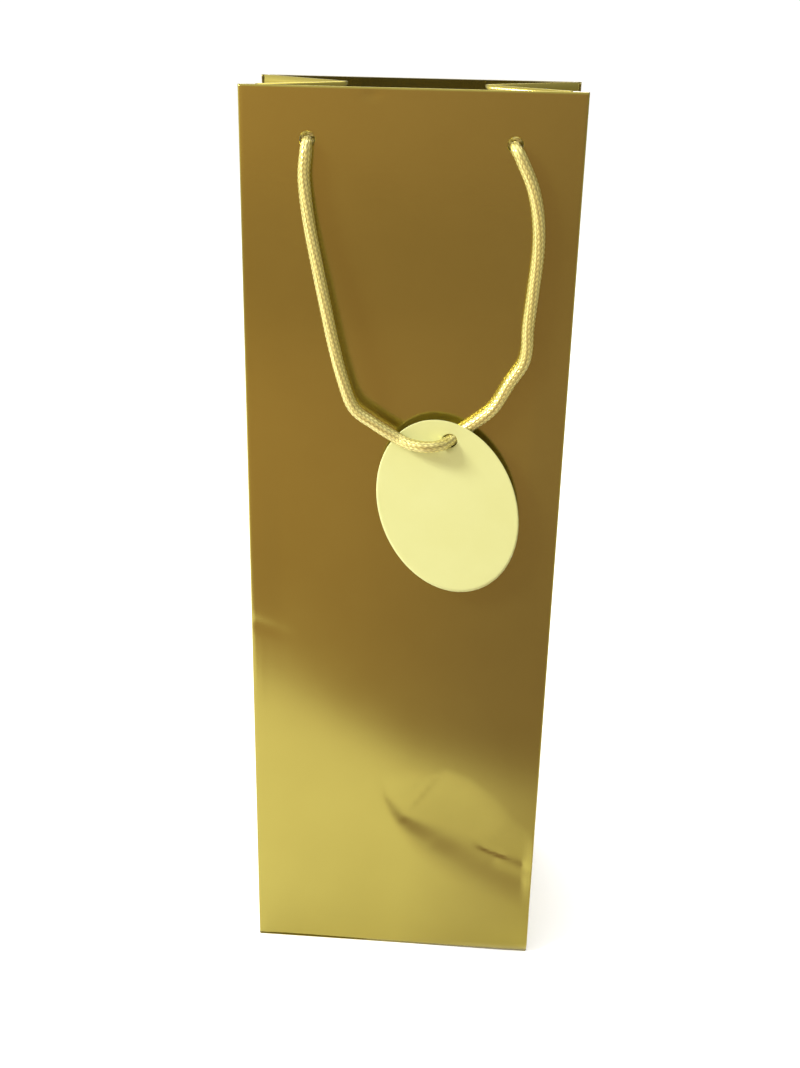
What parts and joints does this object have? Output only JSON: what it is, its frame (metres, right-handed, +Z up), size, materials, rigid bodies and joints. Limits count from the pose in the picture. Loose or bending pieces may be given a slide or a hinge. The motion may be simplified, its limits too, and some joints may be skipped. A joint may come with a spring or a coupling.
{
  "type": "wine gift bag",
  "caption": "Tall narrow folded paper bag for one bottle, with pinched side gussets, turned-in hem, knotted cord handles and an oval hang tag.",
  "frame": {"origin": "centre of the underside, on the surface the bag stands on", "axes": "+Z up towards the mouth, -Y out of the front panel that carries the tag, +X to the viewer's right when facing the front"},
  "size_m": [0.12, 0.086, 0.3595],
  "materials": {
    "coated_paper": "satin metallic gold film outside, white paper inside",
    "white_card": "matt",
    "cord": "knitted cord with a soft sheen",
    "tag_card": "smooth matt card"
  },
  "bodies": {
    "base": {"bottom_flap_rear": "coated_paper", "bottom_flap_front": "coated_paper", "bottom_flap_left": "coated_paper", "bottom_flap_right": "coated_paper", "base_board": "white_card", "gusset_left_front": "coated_paper", "gusset_left_rear": "coated_paper", "gusset_right_front": "coated_paper", "gusset_right_rear": "coated_paper", "gusset_hem_left_front": "coated_paper", "gusset_hem_left_rear": "coated_paper", "gusset_hem_right_front": "coated_paper", "gusset_hem_right_rear": "coated_paper"},
    "front_wall": {"front_panel": "coated_paper", "front_card": "white_card", "front_hem": "coated_paper", "front_knot_left": "cord", "front_knot_right": "cord"},
    "back_wall": {"back_panel": "coated_paper", "back_card": "white_card", "back_hem": "coated_paper", "back_knot_left": "cord", "back_knot_right": "cord", "seam_flap": "coated_paper"},
    "front_handle": {"front_handle_cord": "cord"},
    "rear_handle": {"rear_handle_cord": "cord"},
    "tag": {"gift_tag": "tag_card"}
  },
  "joints": [
    {"name": "front_wall_lean", "type": "hinge", "parent": "base", "child": "front_wall", "pos_m": [0, -0.0425, 0], "axis": [-1, 0, 0], "range_deg": [-2.9, 1.2], "deforming": ["gusset_left_front", "gusset_right_front", "gusset_hem_left_front", "gusset_hem_right_front"]},
    {"name": "back_wall_lean", "type": "hinge", "parent": "base", "child": "back_wall", "pos_m": [0, 0.0425, 0], "axis": [1, 0, 0], "range_deg": [-2.9, 1.2], "deforming": ["gusset_left_rear", "gusset_right_rear", "gusset_hem_left_rear", "gusset_hem_right_rear"]},
    {"name": "front_handle_swing", "type": "hinge", "parent": "front_wall", "child": "front_handle", "pos_m": [0, -0.0275, 0.34218], "axis": [-1, 0, 0], "range_deg": [0, 170]},
    {"name": "rear_handle_swing", "type": "hinge", "parent": "back_wall", "child": "rear_handle", "pos_m": [0, 0.0275, 0.34218], "axis": [1, 0, 0], "range_deg": [0, 170]},
    {"name": "tag_swing", "type": "hinge", "parent": "front_handle", "child": "tag", "pos_m": [0.0176, -0.03567, 0.23786], "axis": [0, -0.9987, 0.0514], "range_deg": [-170, 170]}
  ],
  "couplings": [
    {"joint": "back_wall_lean", "follows": "front_wall_lean", "ratio": 1}
  ]
}
